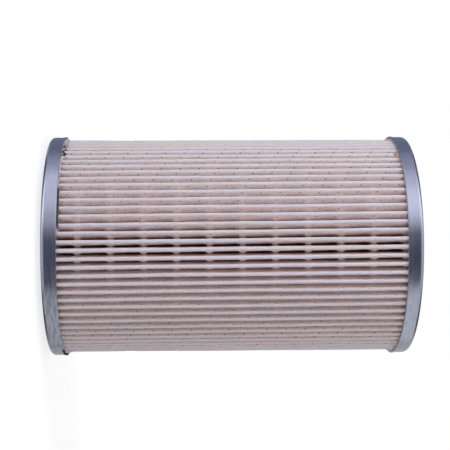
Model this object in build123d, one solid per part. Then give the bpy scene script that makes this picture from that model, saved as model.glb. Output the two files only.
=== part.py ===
"""A pleated paper filter element for hydraulic oil, standing on its lower end.

The axis is +Z and the origin is the centre of the lower gasket's outer face, which is the lowest point.
All sizes are in millimetres. Each function makes one piece of the element, at its own place.
"""

import math
import os

from build123d import *

# End caps: one steel pressing, used at both ends.
element_length = 175.0  # over the flat faces of the two caps
cap_radius = 54.0  # outside of the skirt
cap_sheet = 0.8
cap_depth = 7.2  # from the flat face to the skirt's free edge
corner_bend_inside = 1.2  # inside radius where the face turns into the skirt
lip_length = 1.8  # the last stretch of the skirt leans outwards as a lead-in
lip_flare = 0.3  # how far it leans
lip_bend_inside = 2.0

# Gasket seat: the middle of each cap is pressed inwards, and its hole has a turned-in collar.
seat_depth = 1.5
seat_bend_inside = 0.5
bore_radius = 25.0
collar_height = 6.0  # from the seat's outer surface to the collar's free edge
collar_bend_inside = 0.4
gasket_width = 7.0  # across the ring's section
gasket_proud = 2.5  # how far it stands out of the cap's flat face
gasket_edge = 0.5  # radius on its edges
gasket_bore_clearance = 0.8  # the ring's bore is this much larger than the cap's hole
gasket_seat_clearance = 0.6  # between the ring and the seat's sloping wall

# Centre tube: perforated steel, pushed over both collars.
tube_wall = 0.8
tube_fit = 0.1  # between the tube and the collar's bend
hole_radius = 4.0
holes_per_ring = 8
hole_ring_pitch = 16.5
hole_free_end = 14.0  # least plain length at each end of the tube

# Pleated paper: one sheet folded to and fro, and closed to a ring by a clip over its two end legs.
pleat_count = 82
paper_thickness = 0.5
paper_cap_clearance = 0.7  # between the crests and the inside of the skirt
paper_tube_clearance = 0.3
crest_gap = 0.94  # between the two walls inside an outer fold
crest_bend_inside = 0.42  # inside radius of an outer fold
valley_gap = 0.3  # between the two walls inside an inner fold
valley_bend_inside = 0.05
fold_facets = 4  # flats that make up each rounded corner
paper_bed = 0.8  # adhesive between the cap and the paper's end
seam_angle = 92.2  # where the side seam lies, in degrees round the axis

# Side seam clip: a steel strip folded over the sheet's two end legs.
clip_wall = 0.5
clip_depth = 9.0  # radially, over its folded edge
leg_gap = 0.1  # between the two legs inside the clip

# Adhesive at each end.
potting_below_lip = 0.4  # from its surface to the skirt's free edge

# Places that follow from the sizes above.
lower_face = gasket_proud  # the lower cap's flat face
upper_face = lower_face + element_length
middle = (lower_face + upper_face) / 2
seat_floor = seat_depth + cap_sheet  # inside surface of the seat, from the cap's flat face
tube_inner = bore_radius + cap_sheet + collar_bend_inside + tube_fit
tube_outer = tube_inner + tube_wall
paper_outer = cap_radius - cap_sheet - paper_cap_clearance
paper_inner = tube_outer + paper_tube_clearance
paper_start = lower_face + seat_floor + paper_bed
paper_length = 2 * (middle - paper_start)
gasket_inner = bore_radius + gasket_bore_clearance
gasket_outer = gasket_inner + gasket_width
seat_radius = gasket_outer + gasket_seat_clearance  # at the seat's floor
leg_end = paper_outer - clip_wall
clip_mouth = paper_outer - clip_depth
leg_face = leg_gap / 2 + paper_thickness  # a leg's outer face, from the seam's middle plane


def ring(profile):
    """Turns a profile of (radius, height) faces round the element's axis."""
    return revolve(Plane.XZ * profile, Axis.Z, 360)


def turned_over(piece):
    """The same piece at the element's other end."""
    return Pos(0, 0, 2 * middle) * Rot(180, 0, 0) * piece


def bend(inside_radius):
    """Radius on the outer surface of the sheet, where it turns towards its inside."""
    return inside_radius + cap_sheet


def cap_section():
    """Section of the cap as (radius, height above its flat face): the outer surface, thickened inwards."""
    outer_surface = FilletPolyline(
        (cap_radius + lip_flare, cap_depth),
        (cap_radius, cap_depth - lip_length),
        (cap_radius, 0),
        (seat_radius + seat_depth, 0),
        (seat_radius, seat_depth),
        (bore_radius, seat_depth),
        (bore_radius, seat_depth + collar_height),
        radius=[
            lip_bend_inside,
            bend(corner_bend_inside),
            bend(seat_bend_inside),
            seat_bend_inside,
            bend(collar_bend_inside),
        ],
    )
    return make_face(offset(outer_surface, cap_sheet, side=Side.RIGHT, closed=True))


def end_cap():
    """The lower end cap."""
    return Pos(0, 0, lower_face) * ring(cap_section())


def gasket():
    """The lower gasket: a rubber ring on the floor of the cap's seat."""
    height = seat_depth + gasket_proud
    section = Pos((gasket_inner + gasket_outer) / 2, height / 2) * RectangleRounded(
        gasket_width, height, gasket_edge
    )
    return ring(section)


def centre_tube():
    """The perforated tube, standing on the seats of both caps, with staggered rings of holes."""
    start = lower_face + seat_floor
    length = 2 * (middle - start)
    wall = Pos(0, 0, middle) * (Cylinder(tube_outer, length) - Cylinder(tube_inner, length))
    ring_count = int((length - 2 * hole_free_end - 2 * hole_radius) / hole_ring_pitch) + 1
    lowest = middle - (ring_count - 1) * hole_ring_pitch / 2
    step = 360 / holes_per_ring
    drills = [
        Pos(0, 0, lowest + row * hole_ring_pitch)
        * Rot(0, 0, step * (turn + (row % 2) / 2))
        * Pos(tube_inner, 0, 0)
        * Rot(0, 90, 0)
        * Cylinder(hole_radius, 6 * tube_wall)
        for row in range(ring_count)
        for turn in range(holes_per_ring)
    ]
    return wall - drills


def fold(gap, bend_inside, radius, outwards):
    """Outer face of one fold, from flank to flank, as points of (across, distance from the axis).

    outwards is 1 for a fold that points away from the axis and -1 for one that points towards it.
    """
    half_width = gap / 2 + paper_thickness
    bend_outside = bend_inside + paper_thickness
    corner = []
    for step in range(fold_facets + 1):
        turn = math.radians(90 * step / fold_facets)
        across = half_width - bend_outside * (1 - math.cos(turn))
        along = radius - outwards * bend_outside * (1 - math.sin(turn))
        corner.append((across, along))
    return [(-across, along) for across, along in corner] + corner[::-1]


def fold_inside(gap, radius, outwards):
    """Inner face of the same fold: the two corners between its walls."""
    along = radius - outwards * paper_thickness
    return [(-gap / 2, along), (gap / 2, along)]


def at_angle(degrees, points):
    """Places points of (across, distance from the axis) at an angle round the axis."""
    turn = math.radians(degrees)
    return [
        (
            along * math.cos(turn) - across * math.sin(turn),
            along * math.sin(turn) + across * math.cos(turn),
        )
        for across, along in points
    ]


def paper_outline():
    """Outline of the folded sheet's end, round its outer side and back along its inner side."""
    pitch = 360 / pleat_count
    outer_crest = fold(crest_gap, crest_bend_inside, paper_outer, 1)
    inner_crest = fold_inside(crest_gap, paper_outer, 1)
    outer_valley = fold_inside(valley_gap, paper_inner, -1)
    inner_valley = fold(valley_gap, valley_bend_inside, paper_inner, -1)
    outer_side = at_angle(seam_angle, [(leg_face, leg_end), (leg_face, clip_mouth)])
    inner_side = at_angle(seam_angle, [(leg_gap / 2, leg_end), (leg_gap / 2, clip_mouth)])
    for pleat in range(pleat_count):
        valley_angle = seam_angle + (pleat + 0.5) * pitch
        outer_side += at_angle(valley_angle, outer_valley)
        inner_side += at_angle(valley_angle, inner_valley)
        if pleat < pleat_count - 1:
            crest_angle = seam_angle + (pleat + 1) * pitch
            outer_side += at_angle(crest_angle, outer_crest)
            inner_side += at_angle(crest_angle, inner_crest)
    outer_side += at_angle(seam_angle, [(-leg_face, clip_mouth), (-leg_face, leg_end)])
    inner_side += at_angle(seam_angle, [(-leg_gap / 2, clip_mouth), (-leg_gap / 2, leg_end)])
    return outer_side + inner_side[::-1]


def pleated_paper():
    """The folded sheet between the two caps."""
    outline = make_face(Polyline(*paper_outline(), close=True))
    return Pos(0, 0, paper_start) * extrude(outline, paper_length)


def side_seam_clip():
    """The strip folded over the sheet's end legs, as long as the sheet."""
    half_width = leg_face + clip_wall
    outside = Pos((clip_mouth + paper_outer) / 2, 0) * Rectangle(clip_depth, 2 * half_width)
    outside = fillet(outside.vertices().group_by(Axis.X)[-1], clip_wall / 2)
    mouth = Pos((clip_mouth + leg_end) / 2, 0) * Rectangle(leg_end - clip_mouth, 2 * leg_face)
    section = Rot(0, 0, seam_angle) * (outside - mouth)
    return Pos(0, 0, paper_start) * extrude(section, paper_length)


def potting_ring():
    """The lower adhesive before anything stands in it: it fills the cap outside the tube."""
    reach = cap_radius + lip_flare
    level = cap_depth - potting_below_lip
    room = Pos((tube_outer + reach) / 2, level / 2) * Rectangle(reach - tube_outer, level)
    filling = (room - cap_section()).faces().sort_by(SortBy.AREA)[-1]
    return Pos(0, 0, lower_face) * ring(filling)


paper = pleated_paper()
clip = side_seam_clip()
pieces = {
    "pleated_paper": paper,
    "side_seam_clip": clip,
    "centre_tube": centre_tube(),
    "lower_end_cap": end_cap(),
    "upper_end_cap": turned_over(end_cap()),
    "lower_potting": potting_ring() - [paper, clip],
    "upper_potting": turned_over(potting_ring()) - [paper, clip],
    "lower_gasket": gasket(),
    "upper_gasket": turned_over(gasket()),
}

os.makedirs("parts", exist_ok=True)
for name, piece in pieces.items():
    export_step(piece, f"parts/{name}.step")
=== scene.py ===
import math

import bmesh
import bpy
import numpy as np
from mathutils import Matrix, Vector, noise


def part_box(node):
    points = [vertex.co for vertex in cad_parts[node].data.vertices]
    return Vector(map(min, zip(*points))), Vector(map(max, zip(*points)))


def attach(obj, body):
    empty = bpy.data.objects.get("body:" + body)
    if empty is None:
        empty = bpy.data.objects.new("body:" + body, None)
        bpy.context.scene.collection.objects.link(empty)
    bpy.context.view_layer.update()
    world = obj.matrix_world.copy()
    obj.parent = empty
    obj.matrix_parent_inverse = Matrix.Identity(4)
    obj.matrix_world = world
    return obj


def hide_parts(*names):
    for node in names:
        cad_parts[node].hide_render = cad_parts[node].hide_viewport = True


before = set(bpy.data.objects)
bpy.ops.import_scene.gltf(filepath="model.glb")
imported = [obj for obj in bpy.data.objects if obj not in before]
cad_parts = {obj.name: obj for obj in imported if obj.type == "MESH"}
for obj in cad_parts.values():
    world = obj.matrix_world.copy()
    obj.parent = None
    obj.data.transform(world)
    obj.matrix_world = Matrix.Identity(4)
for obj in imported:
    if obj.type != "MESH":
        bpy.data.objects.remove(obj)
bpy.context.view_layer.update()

# ---------------------------------------------------------------------------------------------
# End caps: two shallow cups pressed from 0.8 mm zinc-plated steel. The skirt's edge flares out a
# little, the middle is pressed in as a seat for the gasket, and the hole has a turned-in collar.
# Both come from the same die, so the upper one is the lower one turned over.

MM = 0.001
lower_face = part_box("lower_end_cap")[0][2] / MM
upper_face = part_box("upper_end_cap")[1][2] / MM
middle = (lower_face + upper_face) / 2

cap_radius = 54.0
cap_sheet = 0.8
cap_depth = 7.2
lip_length = 1.8
lip_flare = 0.3
seat_radius = 33.4
seat_depth = 1.5
bore_radius = 25.0
collar_top = 7.5
cap_turns = 288


def rounded(corners, radii):
    """The line through the corners with its bends rounded, as (point, direction) pairs."""
    corners = [Vector(corner) for corner in corners]
    line = [(corners[0], (corners[1] - corners[0]).normalized())]
    for before, corner, after, radius in zip(corners, corners[1:], corners[2:], radii):
        arriving = (corner - before).normalized()
        leaving = (after - corner).normalized()
        turn = arriving.angle_signed(leaving)
        reach = radius * math.tan(abs(turn) / 2)
        start = corner - arriving * reach
        side = Vector((arriving.y, -arriving.x)) * (1 if turn > 0 else -1)
        centre = start + side * radius
        steps = max(3, round(abs(math.degrees(turn)) / 11))
        line.append((start - arriving * 0.1, arriving.copy()))
        for step in range(steps + 1):
            swing = Matrix.Rotation(-turn * step / steps, 2)
            line.append((centre + swing @ (start - centre), swing @ arriving))
        line.append((corner + leaving * (reach + 0.1), leaving.copy()))
    line.append((corners[-1], (corners[-1] - corners[-2]).normalized()))
    return line


def sheet_section(line, thickness):
    """Closed section of a sheet that lies on the right of the line, with its two cut edges eased."""
    def beside(place, distance, back=0.0):
        point, along = place
        return point + Vector((along.y, -along.x)) * distance - along * back

    ease = 0.14
    first, last = line[0], line[-1]
    section = [beside(first, 0, -ease)] + [point for point, _ in line[1:-1]] + [beside(last, 0, ease)]
    section += [beside(last, ease * 0.7), beside(last, thickness - ease * 0.7)]
    section += [beside(last, thickness, ease)] + [beside(place, thickness) for place in line[-2:0:-1]]
    section += [beside(first, thickness, -ease), beside(first, thickness - ease * 0.7)]
    section += [beside(first, ease * 0.7)]
    return section


def ring_mesh(name, section, turns, shape):
    """Turns a closed section of (radius, height) round the axis. shape moves each point."""
    points = []
    for turn in range(turns):
        angle = 2 * math.pi * turn / turns
        for radius, height in section:
            points.append(shape(radius, height, angle))
    count = len(section)
    faces = []
    for turn in range(turns):
        here, there = turn * count, (turn + 1) % turns * count
        for i in range(count):
            j = (i + 1) % count
            faces.append((here + i, there + i, there + j, here + j))
    return solid_mesh(name, points, faces)


def solid_mesh(name, points, faces):
    """A smooth closed mesh from points in millimetres, with its faces turned outwards."""
    mesh = bpy.data.meshes.new(name)
    mesh.from_pydata([Vector(point) * MM for point in points], [], faces)
    work = bmesh.new()
    work.from_mesh(mesh)
    bmesh.ops.recalc_face_normals(work, faces=work.faces)
    work.to_mesh(mesh)
    work.free()
    mesh.shade_smooth()
    piece = bpy.data.objects.new(name, mesh)
    bpy.context.scene.collection.objects.link(piece)
    return piece


def finish_named(name):
    """A new material with its node tree and its shader."""
    finish = bpy.data.materials.new(name)
    finish.use_nodes = True
    return finish, finish.node_tree, finish.node_tree.nodes["Principled BSDF"]


def node(tree, kind, inputs=None, **settings):
    """Adds a node and returns its first output. Inputs are given as values or as other outputs."""
    made = tree.nodes.new("ShaderNode" + kind)
    for name, value in settings.items():
        setattr(made, name, value)
    for name, value in (inputs or {}).items():
        if isinstance(value, bpy.types.NodeSocket):
            tree.links.new(value, made.inputs[name])
        else:
            made.inputs[name].default_value = value
    return made.outputs[0]


def maths(tree, operation, a, b=0.0, c=0.0):
    return node(tree, "Math", {0: a, 1: b, 2: c}, operation=operation)


def ramp(tree, value, low, high, to_low=0.0, to_high=1.0):
    """Smooth step of a value from low to high."""
    return node(tree, "MapRange", {0: value, 1: low, 2: high, 3: to_low, 4: to_high},
                interpolation_type="SMOOTHSTEP")


def mix(tree, factor, a, b, blend_type="MIX"):
    """Mixes two colours."""
    made = tree.nodes.new("ShaderNodeMix")
    made.data_type = "RGBA"
    made.blend_type = blend_type
    for socket, value in ((made.inputs[0], factor), (made.inputs[6], a), (made.inputs[7], b)):
        if isinstance(value, bpy.types.NodeSocket):
            tree.links.new(value, socket)
        elif isinstance(value, tuple):
            socket.default_value = (*value, 1.0)
        else:
            socket.default_value = value
    return made.outputs[2]


def place(tree, scale=(1, 1, 1)):
    """Position on the piece in millimetres, stretched by scale."""
    spot = node(tree, "NewGeometry")
    return node(tree, "VectorMath", {0: spot, 1: tuple(1000 * s for s in scale)}, operation="MULTIPLY")


def cap_shape(radius, height, angle):
    """The pressed cap isn't quite round: its skirt bellies by a few hundredths of a millimetre."""
    hold = min(1.0, max(0.0, (radius - 35) / 15))
    rise = min(1.0, height / cap_depth)
    off = 0.04 * math.cos(2 * angle + 0.7) + 0.03 * math.cos(5 * angle + 2.1) - 0.09
    off += 0.03 * rise * noise.noise(Vector((math.cos(angle) * 3, math.sin(angle) * 3, height * 0.1)))
    lift = 0.05 * rise * hold * noise.noise(Vector((math.cos(angle) * 4, math.sin(angle) * 4, 7.0)))
    radius += off * hold
    return (radius * math.cos(angle), radius * math.sin(angle), lower_face + height + lift)


cap_line = rounded(
    [
        (cap_radius + lip_flare, cap_depth),
        (cap_radius, cap_depth - lip_length),
        (cap_radius, 0),
        (seat_radius + seat_depth, 0),
        (seat_radius, seat_depth),
        (bore_radius, seat_depth),
        (bore_radius, collar_top),
    ],
    [2.0, 2.0, 1.3, 0.5, 1.2],
)
cap_section = sheet_section(cap_line, cap_sheet)

zinc, tree, shader = finish_named("zinc_plated_steel")
spot = place(tree)
cloud = node(tree, "TexNoise", {"Vector": spot, "Scale": 0.16, "Detail": 3.0, "Roughness": 0.6})
fine = node(tree, "TexNoise", {"Vector": spot, "Scale": 1.7, "Detail": 4.0, "Roughness": 0.65})
rub = node(tree, "TexNoise", {"Vector": place(tree, (0.16, 0.16, 0.9)), "Scale": 1.0, "Detail": 4.0})
tone = mix(tree, ramp(tree, cloud, 0.3, 0.7), (0.29, 0.305, 0.36), (0.33, 0.345, 0.40))
tone = mix(tree, ramp(tree, fine, 0.35, 0.75, 0.0, 0.15), tone, (0.25, 0.265, 0.32))
where = node(tree, "SeparateXYZ", {0: spot}).node
# The plating is painted bluer on its low-X side, which faces the key lamp: a painted reflection of the bluish
# light there.
tone = mix(tree, ramp(tree, where.outputs["X"], -5.0, 25.0, 0.75, 0.0), tone, (0.30, 0.315, 0.425))
streaks = ramp(tree, rub, 0.44, 0.6)
streaks = maths(tree, "MULTIPLY", streaks, ramp(tree, where.outputs["X"], -5.0, 30.0, 0.1, 0.75))
streaks = maths(tree, "MULTIPLY", streaks, ramp(tree, where.outputs["Z"], 60.0, 120.0, 1.0, 0.3))
tone = mix(tree, streaks, tone, (0.18, 0.19, 0.23))

# On the lower cap's side towards high X, a black band painted on the lip is painted shade of a slit between
# the lip and the resin; there the metal is also made matt and not metallic.
lip = ramp(tree, where.outputs["Z"], 8.8, 9.0)
lip = maths(tree, "MULTIPLY", lip, ramp(tree, where.outputs["Z"], 11.0, 12.0, 1.0, 0.0))
painted_lip_shade = maths(tree, "MULTIPLY", ramp(tree, where.outputs["X"], 49.3, 49.8), lip)
tone = mix(tree, painted_lip_shade, tone, (0.008, 0.008, 0.01))
tree.links.new(maths(tree, "SUBTRACT", 1.0, painted_lip_shade), shader.inputs["Metallic"])
tree.links.new(tone, shader.inputs["Base Color"])
rough = maths(tree, "ADD", ramp(tree, fine, 0.3, 0.7, 0.24, 0.29), ramp(tree, cloud, 0.3, 0.7, 0.0, 0.05))
rough = maths(tree, "MAXIMUM", rough, painted_lip_shade)
tree.links.new(rough, shader.inputs["Roughness"])
grain = maths(tree, "ADD", maths(tree, "MULTIPLY", fine, 0.6), maths(tree, "MULTIPLY", rub, 0.4))
bump = node(tree, "Bump", {"Strength": 0.12, "Distance": 0.00002, "Height": grain})
tree.links.new(bump, shader.inputs["Normal"])

turned_over = Matrix.Translation((0, 0, 2 * middle * MM)) @ Matrix.Rotation(math.pi, 4, "X")
lower_cap = ring_mesh("lower_cap_pressing", cap_section, cap_turns, cap_shape)
upper_cap = ring_mesh("upper_cap_pressing", cap_section, cap_turns, cap_shape)
upper_cap.data.transform(turned_over)
for cap, part in ((lower_cap, "lower_end_cap"), (upper_cap, "upper_end_cap")):
    cap.data.materials.append(zinc)
    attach(cap, "root")
    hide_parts(part)

# ---------------------------------------------------------------------------------------------
# Centre tube: 0.8 mm steel, perforated flat and rolled to a tube. It is pushed over the collars of
# both caps, and the pleats lean on it when oil is drawn through them.


def dress(part, finish):
    """Gives a solid that is kept as it stands its finish."""
    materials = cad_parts[part].data.materials
    materials.clear()
    materials.append(finish)


steel, tree, shader = finish_named("tube_steel")
spot = place(tree)
fine = node(tree, "TexNoise", {"Vector": spot, "Scale": 0.9, "Detail": 4.0})
rolled = node(tree, "TexNoise", {"Vector": place(tree, (1.5, 1.5, 0.08)), "Scale": 1.0, "Detail": 3.0})
tone = mix(tree, ramp(tree, rolled, 0.3, 0.7), (0.34, 0.345, 0.35), (0.45, 0.455, 0.46))
tone = mix(tree, ramp(tree, fine, 0.55, 0.75, 0.0, 0.5), tone, (0.27, 0.27, 0.28))
tree.links.new(tone, shader.inputs["Base Color"])
shader.inputs["Metallic"].default_value = 1.0
tree.links.new(ramp(tree, fine, 0.3, 0.7, 0.3, 0.45), shader.inputs["Roughness"])
bump = node(tree, "Bump", {"Strength": 0.2, "Distance": 0.00002, "Height": rolled})
tree.links.new(bump, shader.inputs["Normal"])
dress("centre_tube", steel)

# ---------------------------------------------------------------------------------------------
# Pleated paper: one sheet of resin-treated filter paper, pricked and embossed while flat, folded
# to and fro and closed to a ring. The embossed bumps of facing walls meet and hold the folds apart.

pleats = 82
seam_angle = 92.2
paper_thick = 0.5
crest_radius = 52.5
valley_radius = 27.4
valley_gap_half = 0.15
leg_face = 0.55
leg_gap_half = 0.05
leg_end = 52.0
clip_mouth = 43.5
paper_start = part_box("pleated_paper")[0][2] / MM
paper_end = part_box("pleated_paper")[1][2] / MM
neck_pitch = 15.16
first_neck = 3.55
necks = 12
bump_half = 1.45
dent_place = 3.8
dent_half = 1.5
dent_share = 0.35
bump_start = 1.5
bump_full = 4.4
bump_end = 12
pitch_angle = 360 / pleats
valley_floor = valley_radius + paper_thick

# Half the fold's outside width at depths below the crest. The folds are round at their crests and
# bulge below them, where the bumps inside hold their walls apart.
half_widths = {0.0: 0.0, 0.13: 0.46, 0.42: 0.75, 0.85: 0.89, 1.5: 0.97, 2.7: 1.04, 4.4: 1.15}
inside_widths = {0.0: 0.0, 0.35: 0.36, 3.9: 0.65}


def flank_half(depth):
    """Half the fold's width at a depth below the crest."""
    depths = [*half_widths, crest_radius - valley_floor]
    halves = [*half_widths.values(), math.radians(pitch_angle / 2) * valley_floor - valley_gap_half]
    return float(np.interp(depth, depths, halves))


def gap_half(depth):
    """Half the room between two folds at a depth below the crest."""
    return math.radians(pitch_angle / 2) * (crest_radius - depth) - flank_half(depth)


def outer_column_places():
    """The outer face across the sheet: (angle, across, radius, kind) with kind -1 or 1 on a wall."""
    places = [(seam_angle, leg_face, leg_end, 0), (seam_angle, leg_face, clip_mouth, 0)]
    for fold in range(pleats):
        valley = seam_angle + (fold + 0.5) * pitch_angle
        places += [(valley, -valley_gap_half, valley_floor, 0), (valley, valley_gap_half, valley_floor, 0)]
        if fold == pleats - 1:
            break
        crest = seam_angle + (fold + 1) * pitch_angle
        for depth in sorted(half_widths, reverse=True):
            places.append((crest, -half_widths[depth], crest_radius - depth, -1 if depth else 0))
        for depth in sorted(half_widths)[1:]:
            places.append((crest, half_widths[depth], crest_radius - depth, 1))
    seam = seam_angle + 360
    places += [(seam, -leg_face, clip_mouth, 0), (seam, -leg_face, leg_end, 0)]
    return places


def inner_column_places():
    """The inner face across the sheet, with one flat at each fold."""
    places = [(seam_angle, leg_gap_half, leg_end, 0), (seam_angle, leg_gap_half, clip_mouth, 0)]
    for fold in range(pleats):
        valley = seam_angle + (fold + 0.5) * pitch_angle
        reach = valley_gap_half + paper_thick
        places += [(valley, -reach, valley_radius + 0.15, 0), (valley, 0, valley_radius, 0)]
        places += [(valley, reach, valley_radius + 0.15, 0)]
        if fold < pleats - 1:
            crest = seam_angle + (fold + 1) * pitch_angle
            inside = crest_radius - paper_thick
            for depth in sorted(inside_widths, reverse=True):
                places.append((crest, -inside_widths[depth], inside - depth, 0))
            for depth in sorted(inside_widths)[1:]:
                places.append((crest, inside_widths[depth], inside - depth, 0))
    seam = seam_angle + 360
    places += [(seam, -leg_gap_half, clip_mouth, 0), (seam, -leg_gap_half, leg_end, 0)]
    return places


def swell(height, fold, side):
    """How far a wall stands out at a height: 1 on a bump, below 0 in the dent beside it."""
    out = 0.0
    nearest = round((height - first_neck) / neck_pitch)
    for neck in (nearest - 1, nearest, nearest + 1):
        centre = first_neck + neck * neck_pitch
        share = 1 + 0.16 * noise.noise(Vector((fold * 3.7, neck * 2.9, side * 5.1)))
        out += share * math.exp(-(((height - centre) / bump_half) ** 4))
        out -= dent_share * share * math.exp(-(((height - centre + dent_place) / dent_half) ** 2))
    return out


def smooth(share):
    """Eases a share between 0 and 1."""
    share = min(1.0, max(0.0, share))
    return share * share * (3 - 2 * share)


def crowding(angle):
    """How far the folds have shifted round, in degrees: they stand wider apart on one side."""
    from_front = (angle + 270) % 360 - 180
    return 2.0 * smooth((from_front - 30) / 32) * smooth((180 - from_front) / 110) - 0.4


def fold_lean(angle):
    """How far a fold leans over, in radians: the ones at the front stand nearly upright."""
    from_front = abs((angle + 270) % 360 - 180)
    return math.radians(1.6 + 3.6 * smooth((from_front - 2) / 13))


def paper_point(angle, across, radius, side, height):
    """Where a point of the flat-sided fold lies once embossed, leaning and slightly uneven."""
    depth = crest_radius - radius
    fold = round((angle - seam_angle) / pitch_angle * 2)
    from_seam = min(angle - seam_angle, seam_angle + 360 - angle)
    free = smooth(from_seam / 35)
    along = (height - middle) / 165
    outer = max(0.0, 1 - depth / 22)
    ends = min(1.0, (height - paper_start) / 14, (paper_end - height) / 14)
    ends = max(0.0, ends)
    wander = 0.2 * noise.noise(Vector((fold * 1.9, height * 0.021, 3.0)))
    wander += 0.1 * noise.noise(Vector((fold * 2.3, height * 0.07, 9.0)))
    wander += 0.22 * noise.noise(Vector((fold * 0.31, height * 0.006, 21.0)))
    across += wander * free * outer * (0.5 + 0.5 * ends) + math.tan(fold_lean(angle)) * depth * free
    if side:
        start = min(1.0, max(0.0, (depth - bump_start) / (bump_full - bump_start)))
        stop = min(1.0, max(0.0, (bump_end - depth) / 3))
        reach = (0.5 if side < 0 else 1.15) * gap_half(depth) * start * stop
        across += side * reach * swell(height, fold, side)
        if depth < 1:
            across += side * 0.05 * noise.noise(Vector((fold * 2.7, height * 0.42, side * 3.0)))
        across += side * 0.07 * free * noise.noise(Vector((fold * 5.3, height * 0.05, side * 2.0 + depth)))
    radius += 0.13 * outer * free * noise.noise(Vector((fold * 4.1, height * 0.018, 15.0)))
    turn = math.radians(angle + (crowding(angle) - 1.3 * along) * free)
    return (radius * math.cos(turn) - across * math.sin(turn),
            radius * math.sin(turn) + across * math.cos(turn), height)


def flat_lengths(places):
    """Distance along the flat sheet to each place, from the sheet's first edge."""
    spots = [Vector(paper_point(a, x, r, 0, paper_start)) for a, x, r, _ in places]
    lengths = [0.0]
    for before, after in zip(spots, spots[1:]):
        lengths.append(lengths[-1] + (after - before).length)
    return lengths


outer_places = outer_column_places()
inner_places = inner_column_places()
outer_flat = flat_lengths(outer_places)
inner_flat = flat_lengths(inner_places)
inner_flat = [length * outer_flat[-1] / inner_flat[-1] for length in inner_flat]
fold_length = outer_flat[-1] / (pleats - 0.3)

heights = [paper_start]
for neck in range(necks):
    for step in (-dent_place, -1.9, -0.8, 0.8, 1.9, 6.2):
        height = first_neck + neck * neck_pitch + step
        if paper_start + 0.6 < height < paper_end - 0.6:
            heights.append(height)
heights.append(paper_end)
inner_heights = [paper_start + (paper_end - paper_start) * i / 10 for i in range(11)]


def crest_distance(places, lengths):
    """Signed distance along the sheet from the middle of the nearest outer fold."""
    middles = [(seam_angle, 0.0)]
    for (angle, across, radius, _), length in zip(places, lengths):
        if radius == crest_radius:
            middles.append((angle, length))
    middles.append((seam_angle + 360, lengths[-1]))
    table = {round((angle - seam_angle) / pitch_angle): length for angle, length in middles}
    result = []
    for (angle, across, radius, _), length in zip(places, lengths):
        turn = (angle - seam_angle) / pitch_angle
        low, high = math.floor(turn + 1e-6), math.ceil(turn - 1e-6)
        near = min((table[low], table[high]), key=lambda at: abs(at - length))
        result.append(length - near)
    return result


def strip(first, first_at, second, second_at):
    """Triangles between two rows of vertices that run side by side."""
    faces = []
    i = j = 0
    while i < len(first) - 1 or j < len(second) - 1:
        step_first = j == len(second) - 1
        if not step_first and i < len(first) - 1:
            step_first = first_at[i + 1] <= second_at[j + 1]
        if step_first:
            faces.append((first[i], first[i + 1], second[j]))
            i += 1
        else:
            faces.append((first[i], second[j + 1], second[j]))
            j += 1
    return faces


outer_crest = crest_distance(outer_places, outer_flat)
points, sheet_places, faces = [], [], []
outer_rows, inner_rows = [], []
for rows, places, lengths, levels in (
    (outer_rows, outer_places, outer_flat, heights),
    (inner_rows, inner_places, inner_flat, inner_heights),
):
    offsets = np.interp(lengths, outer_flat, outer_crest)
    if rows is inner_rows:
        offsets = fold_length / 2 - np.abs(offsets)
    for height in levels:
        row = []
        for (angle, across, radius, side), length, offset in zip(places, lengths, offsets):
            row.append(len(points))
            points.append(paper_point(angle, across, radius, side, height))
            sheet_places.append((length, height, offset))
        rows.append(row)
    for low, high in zip(rows, rows[1:]):
        for i in range(len(low) - 1):
            faces.append((low[i], low[i + 1], high[i + 1], high[i]))
for end in (0, -1):
    faces += strip(outer_rows[end], outer_flat, inner_rows[end], inner_flat)
    faces += strip([row[end] for row in outer_rows], heights, [row[end] for row in inner_rows], inner_heights)
paper = solid_mesh("pleated_filter_paper", points, faces)
sheet_attribute = paper.data.attributes.new("sheet_place", "FLOAT_VECTOR", "POINT")
sheet_attribute.data.foreach_set("vector", np.array(sheet_places, dtype=np.float32).ravel())

filter_paper, tree, shader = finish_named("filter_paper")
sheet = node(tree, "Attribute", attribute_name="sheet_place").node.outputs["Vector"]
along_sheet, height, off_crest = node(tree, "SeparateXYZ", {0: sheet}).node.outputs
depth = maths(tree, "ABSOLUTE", off_crest)

# Slanting rows of pin pricks cross the sheet. Each is pressed in, and darkened in colour as painted shade in
# its pit.
rows_per_fold = 38
row_shift = 0.6106
row_pitch = (fold_length - 0.35) / rows_per_fold
prick_pitch = 8.95
row_place = maths(tree, "DIVIDE", along_sheet, row_pitch)
row = maths(tree, "FLOOR", row_place)
beside = maths(tree, "MULTIPLY", maths(tree, "SUBTRACT", maths(tree, "FRACT", row_place), 0.5), row_pitch)
column = maths(tree, "DIVIDE", height, prick_pitch)
column = maths(tree, "ADD", column, maths(tree, "MULTIPLY", row, row_shift))
above = maths(tree, "MULTIPLY", maths(tree, "SUBTRACT", maths(tree, "FRACT", column), 0.5), prick_pitch)
away = maths(tree, "SQRT", maths(tree, "ADD", maths(tree, "MULTIPLY", beside, beside),
                                 maths(tree, "MULTIPLY", above, above)))
prick = ramp(tree, away, 0.24, 0.5, 1.0, 0.0)

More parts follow.
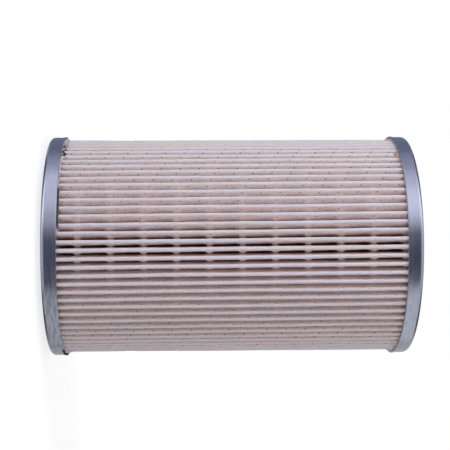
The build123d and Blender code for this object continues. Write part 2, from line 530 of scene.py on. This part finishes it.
# The crests are painted bluer than the pink walls, a painted tint of the bluish light on them. The walls on
# the lower side (high X) are painted greyer below about a millimetre's depth, and deep in the folds they are
# painted dark reddish brown to nearly black: both are painted shade.
fibres = node(tree, "TexNoise", {"Vector": sheet, "Scale": 2.4, "Detail": 5.0, "Roughness": 0.7})
blotch = node(tree, "TexNoise", {"Vector": sheet, "Scale": 0.22, "Detail": 3.0})
wall = mix(tree, ramp(tree, fibres, 0.3, 0.7), (0.96, 0.75, 0.75), (0.99, 0.82, 0.82))
wall = mix(tree, ramp(tree, blotch, 0.4, 0.75, 0.0, 0.35), wall, (0.80, 0.62, 0.57))
spot = place(tree)
low_side = ramp(tree, node(tree, "SeparateXYZ", {0: spot}).node.outputs["X"], 16.0, 40.0)
# Painted shade: greyer walls on the lower side, below the crests.
painted_low_side_shade = maths(tree, "MULTIPLY", low_side, ramp(tree, depth, 1.0, 2.2, 0.0, 0.6))
wall = mix(tree, painted_low_side_shade, wall, (0.62, 0.50, 0.47))
# Painted shade deep in the folds: reddish brown from 4 mm down, nearly black from 10 mm.
wall = mix(tree, ramp(tree, depth, 4.0, 13.0, 0.0, 0.95), wall, (0.46, 0.12, 0.055))
wall = mix(tree, ramp(tree, depth, 10.0, 18.0, 0.0, 0.8), wall, (0.12, 0.03, 0.015))
# The crests' bluish colour is a painted tint of the light that falls on them.
crest = mix(tree, ramp(tree, fibres, 0.3, 0.7), (0.87, 0.77, 0.91), (0.92, 0.83, 0.99))
tone = mix(tree, ramp(tree, depth, 0.4, 1.1), crest, wall)
# Painted shade in the pits, strongest on the walls just below the crests.
painted_prick_shade = ramp(tree, depth, 0.9, 1.5, 0.12, 0.8)
painted_prick_shade = maths(tree, "MULTIPLY", painted_prick_shade, ramp(tree, depth, 2.2, 3.2, 1.0, 0.5))
tone = mix(tree, maths(tree, "MULTIPLY", prick, painted_prick_shade), tone, (0.20, 0.13, 0.12))

# Both ends of the sheet are darker within a few millimetres of the caps, more in the folds than on the
# crests, and there are a fleck and four small stains.
from_middle = maths(tree, "ABSOLUTE", maths(tree, "SUBTRACT", height, middle))
darker_ends = ramp(tree, maths(tree, "ADD", from_middle, maths(tree, "MULTIPLY", blotch, 3.0)), 78.5, 83.0)
darker_ends = maths(tree, "MULTIPLY", darker_ends, ramp(tree, depth, 0.8, 2.5, 0.1, 0.65))
tone = mix(tree, darker_ends, tone, (0.34, 0.22, 0.17))
for stain, size in (
    ((-40.7, -33.0, 45.5), 0.55), ((-36.1, -37.4, 10.6), 0.9), ((-26.8, -44.6, 11.4), 1.0),
    ((-43.2, -29.7, 168.8), 1.0), ((-38.9, -35.1, 168.0), 0.9),
):
    off = node(tree, "VectorMath", {0: spot, 1: stain}, operation="DISTANCE").node.outputs["Value"]
    tone = mix(tree, ramp(tree, off, size * 0.5, size * 1.3, 0.75, 0.0), tone, (0.10, 0.06, 0.05))

tree.links.new(tone, shader.inputs["Base Color"])
shader.inputs["Roughness"].default_value = 0.6
shader.inputs["Specular IOR Level"].default_value = 0.5
shader.inputs["Subsurface Weight"].default_value = 0.85
shader.inputs["Subsurface Radius"].default_value = (1.0, 1.0, 1.0)
shader.inputs["Subsurface Scale"].default_value = 0.0012
shader.inputs["Sheen Weight"].default_value = 0.25
shader.inputs["Sheen Roughness"].default_value = 0.4
creases = maths(tree, "MULTIPLY", ramp(tree, depth, 0.0, 0.35, 1.0, 0.0), -0.6)
relief = maths(tree, "ADD", maths(tree, "MULTIPLY", fibres, 0.5), maths(tree, "MULTIPLY", prick, -1.0))
relief = maths(tree, "ADD", relief, creases)
bump = node(tree, "Bump", {"Strength": 0.5, "Distance": 0.0001, "Height": relief})
tree.links.new(bump, shader.inputs["Normal"])
paper.data.materials.append(filter_paper)
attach(paper, "root")
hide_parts("pleated_paper")

# ---------------------------------------------------------------------------------------------
# Side seam clip: a strip of thin plain steel, folded over the sheet's two end legs and pressed
# shut along the whole length of the pleats.

clip_steel, tree, shader = finish_named("clip_steel")
spot = place(tree)
fine = node(tree, "TexNoise", {"Vector": spot, "Scale": 1.2, "Detail": 4.0})
tone = mix(tree, ramp(tree, fine, 0.35, 0.7), (0.38, 0.385, 0.39), (0.5, 0.505, 0.51))
tree.links.new(tone, shader.inputs["Base Color"])
shader.inputs["Metallic"].default_value = 1.0
tree.links.new(ramp(tree, fine, 0.3, 0.7, 0.3, 0.42), shader.inputs["Roughness"])
dress("side_seam_clip", clip_steel)

# ---------------------------------------------------------------------------------------------
# Adhesive: resin poured into each cap before the pleats are set in it. It creeps up the folds,
# stands proud of the skirt's edge in places, and has dried with cracks and dirt in it.

tube_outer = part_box("centre_tube")[1][0] / MM
skirt_inside = cap_radius - cap_sheet
resin_level = cap_depth - 0.45
resin_turns = pleats * 6


def between(angle, first, last):
    """1 from the first to the last angle from the element's front, fading over 4 degrees."""
    from_front = (math.degrees(angle) + 270) % 360 - 180
    return smooth((from_front - first) / 4 + 0.5) * smooth((last - from_front) / 4 + 0.5)


def squeeze_out(angle):
    """How far the resin stands proud of its level beside the skirt at an angle."""
    spot = Vector((math.cos(angle) * 5, math.sin(angle) * 5, 2.0))
    coarse = noise.noise(spot)
    rough = noise.noise(spot * 6) + 0.6 * noise.noise(spot * 15)
    fillet = 2.0 * between(angle, -100, -52) + 0.7 * between(angle, -52, -32)
    fillet += 1.15 * between(angle, -32, -6) + 2.6 * between(angle, 76, 100)
    return max(0.0, 0.45 * coarse + 0.3 * rough + 0.12 + fillet)


resin_section = [(tube_outer, resin_level - 0.5)]
for radius in (32, 38, 44, 48, 50, 51.4, 52.1, 52.5, 52.65, 52.8, 52.95, 53.1, skirt_inside):
    resin_section.append((radius, resin_level))
resin_section += [(skirt_inside, 5.2), (skirt_inside, 2.6), (35.5, 0.85), (33.2, 2.4), (tube_outer, 2.4)]


def resin_shape(radius, height, angle):
    """The poured ring, with an uneven top that stands up beside the skirt."""
    if height > resin_level - 0.6:
        spot = Vector((radius * math.cos(angle), radius * math.sin(angle), 0))
        close = math.exp(-(((radius - 52.2) / 0.75) ** 2))
        height += 0.12 * noise.noise(spot * 0.6) + 0.1 * noise.noise(spot * 2.1)
        height += 1.3 * close * squeeze_out(angle)
        height += 0.25 * math.exp(-((radius - skirt_inside) / 0.3) ** 2)
    return (radius * math.cos(angle), radius * math.sin(angle), lower_face + height)


resin, tree, shader = finish_named("adhesive")
spot = place(tree)
fine = node(tree, "TexNoise", {"Vector": spot, "Scale": 1.1, "Detail": 5.0})
dirt = node(tree, "TexNoise", {"Vector": spot, "Scale": 0.35, "Detail": 4.0, "Roughness": 0.65})
crack = node(tree, "TexVoronoi", {"Vector": spot, "Scale": 0.42}, feature="DISTANCE_TO_EDGE")
cracks_and_shade = node(tree, "Attribute", attribute_name="cracks_and_shade").node.outputs["Vector"]
cracks_and_shade = node(tree, "SeparateXYZ", {0: cracks_and_shade}).node
tone = mix(tree, ramp(tree, fine, 0.3, 0.7), (0.52, 0.45, 0.46), (0.86, 0.80, 0.82))
tone = mix(tree, ramp(tree, dirt, 0.56, 0.7, 0.0, 0.7), tone, (0.17, 0.15, 0.11))
cracked = maths(tree, "MULTIPLY", ramp(tree, crack, 0.1, 0.22, 0.97, 0.0), cracks_and_shade.outputs["X"])
# Black in the cracks, and black painted shade of the slit beside the lip.
tone = mix(tree, maths(tree, "MAXIMUM", cracked, cracks_and_shade.outputs["Y"]), tone, (0.012, 0.01, 0.01))
tree.links.new(tone, shader.inputs["Base Color"])
shader.inputs["Roughness"].default_value = 0.45
bump = node(tree, "Bump", {"Strength": 0.6, "Distance": 0.0003, "Height": fine})
tree.links.new(bump, shader.inputs["Normal"])
lower_resin = ring_mesh("lower_resin", resin_section, resin_turns, resin_shape)
upper_resin = ring_mesh("upper_resin", resin_section, resin_turns, resin_shape)
upper_resin.data.transform(turned_over)

# Where the resin is cracked, and where a black band on its outer slope beside the lip is painted shade of a
# slit between it and the lip.
ring_cracks_and_shade = []
for turn in range(resin_turns):
    angle = 2 * math.pi * turn / resin_turns
    cracks = between(angle, -67, -53) + 0.1
    painted_slit_shade = between(angle, -31, -8)
    for radius, height in resin_section:
        ring_cracks_and_shade.append((cracks, painted_slit_shade * smooth((radius - 52.3) / 0.2), 0.0))
for ring, part in ((lower_resin, "lower_potting"), (upper_resin, "upper_potting")):
    marked = ring.data.attributes.new("cracks_and_shade", "FLOAT_VECTOR", "POINT")
    marked.data.foreach_set("vector", np.array(ring_cracks_and_shade, dtype=np.float32).ravel())
    ring.data.materials.append(resin)
    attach(ring, "root")
    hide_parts(part)

# ---------------------------------------------------------------------------------------------
# Gaskets: two flat rings of black nitrile rubber, each sitting in a cap's pressed seat and standing
# proud of the cap, so that the housing squeezes it.

rubber, tree, shader = finish_named("gasket_rubber")
spot = place(tree)
fine = node(tree, "TexNoise", {"Vector": spot, "Scale": 1.4, "Detail": 5.0, "Roughness": 0.6})
dust = node(tree, "TexNoise", {"Vector": spot, "Scale": 0.12, "Detail": 3.0})
tone = mix(tree, ramp(tree, fine, 0.3, 0.7), (0.018, 0.018, 0.019), (0.032, 0.032, 0.033))
tone = mix(tree, ramp(tree, dust, 0.55, 0.8, 0.0, 0.35), tone, (0.09, 0.088, 0.085))
tree.links.new(tone, shader.inputs["Base Color"])
tree.links.new(ramp(tree, fine, 0.3, 0.7, 0.48, 0.62), shader.inputs["Roughness"])
bump = node(tree, "Bump", {"Strength": 0.3, "Distance": 0.00005, "Height": fine})
tree.links.new(bump, shader.inputs["Normal"])
dress("lower_gasket", rubber)
dress("upper_gasket", rubber)

# ---------------------------------------------------------------------------------------------
# Floor: a plain white table top. It takes the element's shadow, and its far part is lit so that
# it runs on into the white of the room.



def seen_directly(tree):
    """1 where a thing is looked at, also by reflection, and 0 for the light that it gives off."""
    path = node(tree, "LightPath").node
    seen = maths(tree, "MAXIMUM", path.outputs["Is Camera Ray"], path.outputs["Is Glossy Ray"])
    return maths(tree, "MAXIMUM", seen, path.outputs["Is Transmission Ray"])


floor_mesh = bpy.data.meshes.new("floor")
floor_mesh.from_pydata([(-6, -6, 0), (6, -6, 0), (6, 6, 0), (-6, 6, 0)], [], [(0, 1, 2, 3)])
floor = bpy.data.objects.new("floor", floor_mesh)
bpy.context.scene.collection.objects.link(floor)
white, tree, shader = finish_named("white_table")
grain = node(tree, "TexNoise", {"Scale": 3.0, "Detail": 2.0})
tone = mix(tree, grain, (0.80, 0.80, 0.80), (0.82, 0.82, 0.82))
tree.links.new(tone, shader.inputs["Base Color"])
shader.inputs["Roughness"].default_value = 0.9
shader.inputs["Specular IOR Level"].default_value = 0.0
seen = seen_directly(tree)
shader.inputs["Emission Color"].default_value = (1, 1, 1, 1)
away = node(tree, "VectorMath", {0: place(tree)}, operation="LENGTH").node.outputs["Value"]
away = maths(tree, "MULTIPLY", away, MM)
lit = ramp(tree, away, 0.3, 1.1, 0.68, 0.97)
tree.links.new(maths(tree, "MULTIPLY", seen, lit), shader.inputs["Emission Strength"])
floor.data.materials.append(white)
floor.visible_glossy = False

# ---------------------------------------------------------------------------------------------
# Light: a white room with four tall softboxes round the table, which light what is matt. The metal
# sees bright panels and grey cards in their place, and these give it its bands.


def round_table(angle, rise, distance):
    """A place round the element, by the angle from its front and the rise above its middle."""
    turn, lift = math.radians(angle), math.radians(rise)
    reach = distance * math.cos(lift)
    return Vector((math.sin(turn) * reach, -math.cos(turn) * reach, 0.09 + distance * math.sin(lift)))


def softbox(name, angle, width, height, brightness, tint=(1, 1, 1)):
    """A tall soft lamp at an angle from the element's front, which faces the element."""
    lamp = bpy.data.lights.new(name, "AREA")
    lamp.color = tint
    lamp.shape = "RECTANGLE"
    lamp.size = width
    lamp.size_y = height
    lamp.energy = brightness * math.pi * width * height
    made = bpy.data.objects.new(name, lamp)
    spot = round_table(angle, 0, 0.9)
    back = Vector((spot.x, spot.y, 0)).normalized()
    up = Vector((0, 0, 1))
    made.matrix_world = Matrix.Translation(spot) @ Matrix((up.cross(back), up, back)).transposed().to_4x4()
    bpy.context.scene.collection.objects.link(made)
    made.visible_camera = False
    made.visible_glossy = False


def card(name, angles, rises, colour):
    """A curved card that only the metal sees, from one angle and rise to another."""
    steps = 16
    points, faces = [], []
    for step in range(steps + 1):
        angle = angles[0] + (angles[1] - angles[0]) * step / steps
        for row in range(steps + 1):
            rise = rises[0] + (rises[1] - rises[0]) * row / steps
            points.append(round_table(angle, rise, 0.8))
    for step in range(steps):
        for row in range(steps):
            corner = step * (steps + 1) + row
            faces.append((corner, corner + steps + 1, corner + steps + 2, corner + 1))
    mesh = bpy.data.meshes.new(name)
    mesh.from_pydata(points, [], faces)
    finish, tree, shader = finish_named(name)
    shader.inputs["Base Color"].default_value = (0.0, 0.0, 0.0, 1)
    shader.inputs["Specular IOR Level"].default_value = 0.0
    shader.inputs["Emission Color"].default_value = (*colour, 1)
    shader.inputs["Emission Strength"].default_value = 1.0
    mesh.materials.append(finish)
    made = bpy.data.objects.new(name, mesh)
    bpy.context.scene.collection.objects.link(made)
    made.visible_camera = False
    made.visible_diffuse = False
    made.visible_shadow = False
    made.visible_transmission = False


softbox("key_softbox", -54, 0.7, 1.0, 2.85, tint=(0.90, 0.94, 1.0))
softbox("front_softbox", 5, 0.4, 1.0, 2.45)
softbox("fill_softbox", 100, 0.8, 1.0, 0.8, tint=(1.0, 0.98, 0.93))
softbox("back_softbox", 180, 0.7, 1.0, 1.7, tint=(0.88, 0.94, 1.0))

for name, angles, rises, brightness in (
    ("panel_high_near", (-27, -58), (2, 34), 1.85),
    ("panel_high_far", (-58, -80), (2, 34), 1.25),
    ("panel_low_near", (-37, -62), (-34, 2), 1.45),
    ("panel_low_far", (-62, -82), (-34, 2), 1.6),
    ("side_high", (42, 116), (2, 34), 1.2),
    ("side_low", (45, 116), (-34, 2), 0.86),
    ("far_high", (116, 176), (2, 34), 0.72),
    ("far_low", (116, 176), (-34, 2), 0.66),
):
    card(name, angles, rises, (brightness, brightness, brightness * 1.04))
card("front_high", (-16, 42), (2, 40), (0.115, 0.135, 0.18))
card("front_low", (-18, 45), (-40, 2), (0.165, 0.18, 0.225))
card("behind_card", (-106, -176), (-30, 34), (0.27, 0.31, 0.41))
card("beside_high", (-80, -106), (2, 34), (0.64, 0.68, 0.78))
card("beside_low", (-82, -106), (-30, 2), (0.70, 0.73, 0.82))
card("high_card", (95, 265), (36, 66), (0.12, 0.13, 0.17))
card("low_card", (95, 265), (-66, -36), (0.12, 0.13, 0.17))
card("high_light", (-28, -80), (36, 76), (2.6, 2.6, 2.7))
card("low_light", (-30, -84), (-76, -36), (2.6, 2.6, 2.7))

world = bpy.data.worlds.new("white_room")
world.use_nodes = True
tree = world.node_tree
background = tree.nodes["Background"]
seen = seen_directly(tree)
tree.links.new(mix(tree, seen, (0.97, 0.98, 1.0), (1, 1, 1)), background.inputs["Color"])
tree.links.new(ramp(tree, seen, 0.0, 1.0, 0.2, 1.0), background.inputs["Strength"])
bpy.context.scene.world = world

# ---------------------------------------------------------------------------------------------
# Camera: level with the lower half of the element and turned on its side, so that the element lies
# across its view.

eye = Vector((0, -0.5651, 0.0693))
right, up, ahead = Vector((0, 0, 1)), Vector((-1, 0, 0)), Vector((0, 1, 0))
yaw, pitch, roll = math.radians(1.90), math.radians(1.03), math.radians(-0.29)
ahead, right = (ahead * math.cos(yaw) + right * math.sin(yaw), right * math.cos(yaw) - ahead * math.sin(yaw))
ahead, up = (ahead * math.cos(pitch) + up * math.sin(pitch), up * math.cos(pitch) - ahead * math.sin(pitch))
right, up = (right * math.cos(roll) + up * math.sin(roll), up * math.cos(roll) - right * math.sin(roll))
lens = bpy.data.cameras.new("camera")
lens.sensor_width = 36.0
lens.lens = 90.2
camera = bpy.data.objects.new("camera", lens)
camera.matrix_world = Matrix.Translation(eye) @ Matrix((right, up, -ahead)).transposed().to_4x4()
bpy.context.scene.collection.objects.link(camera)
bpy.context.scene.camera = camera
bpy.context.scene.view_settings.view_transform = "Standard"
